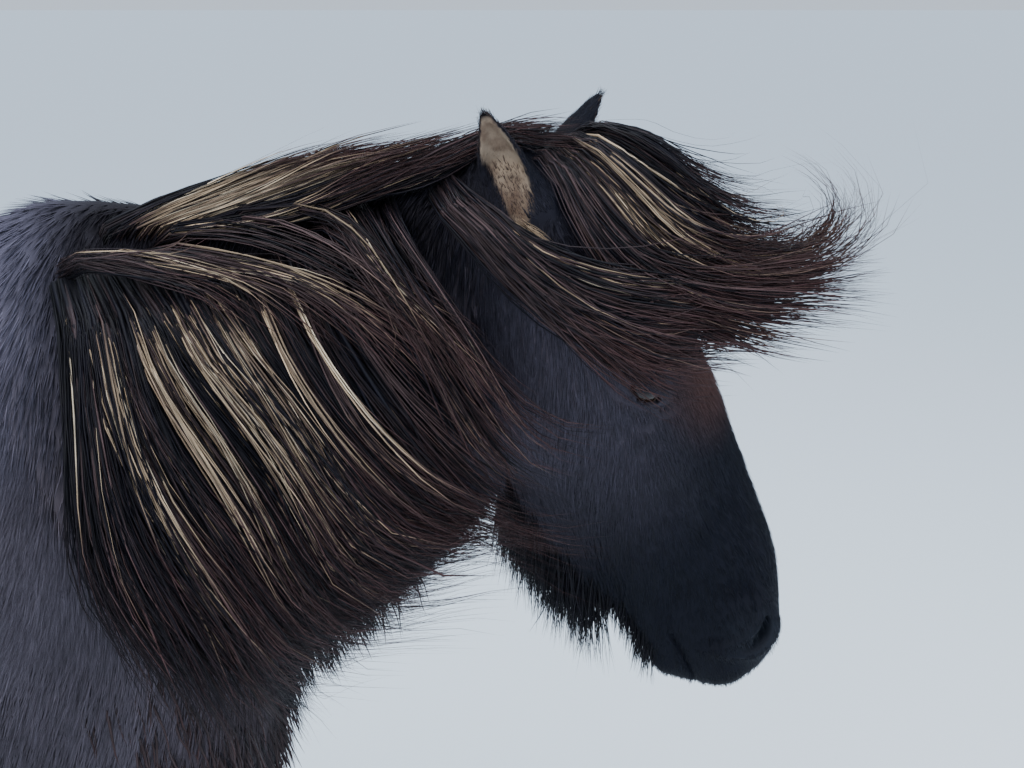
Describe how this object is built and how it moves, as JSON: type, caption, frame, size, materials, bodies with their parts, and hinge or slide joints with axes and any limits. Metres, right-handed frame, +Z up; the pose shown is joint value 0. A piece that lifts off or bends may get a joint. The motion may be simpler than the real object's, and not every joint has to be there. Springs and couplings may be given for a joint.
{
  "type": "icelandic horse",
  "caption": "Life-size standing Icelandic horse in winter coat, head hung low, mane and forelock blown forward; still display model.",
  "frame": {"origin": "on the floor, under the middle of the model's box", "axes": "+X to the nose, +Y to the horse's left, +Z up"},
  "size_m": [2.041, 0.5618, 1.4811],
  "materials": {
    "coat": "thick short winter hair, dark grey-brown",
    "mane": "long dark brown hair with blond and reddish streaks",
    "head": "short bluish-black hair",
    "ear": "short hair, pale inside the cup",
    "hoof": "dark horn",
    "eye": "wet, near black"
  },
  "bodies": {
    "root": {"torso": "coat", "neck": "mane", "head": "head", "eye_right": "eye", "eye_left": "eye", "ear_right": "ear", "ear_left": "ear", "foreleg_right": "coat", "foreleg_left": "coat", "hindleg_right": "coat", "hindleg_left": "coat", "forehoof_right": "hoof", "forehoof_left": "hoof", "hindhoof_right": "hoof", "hindhoof_left": "hoof", "tail": "mane"}
  },
  "joints": []
}
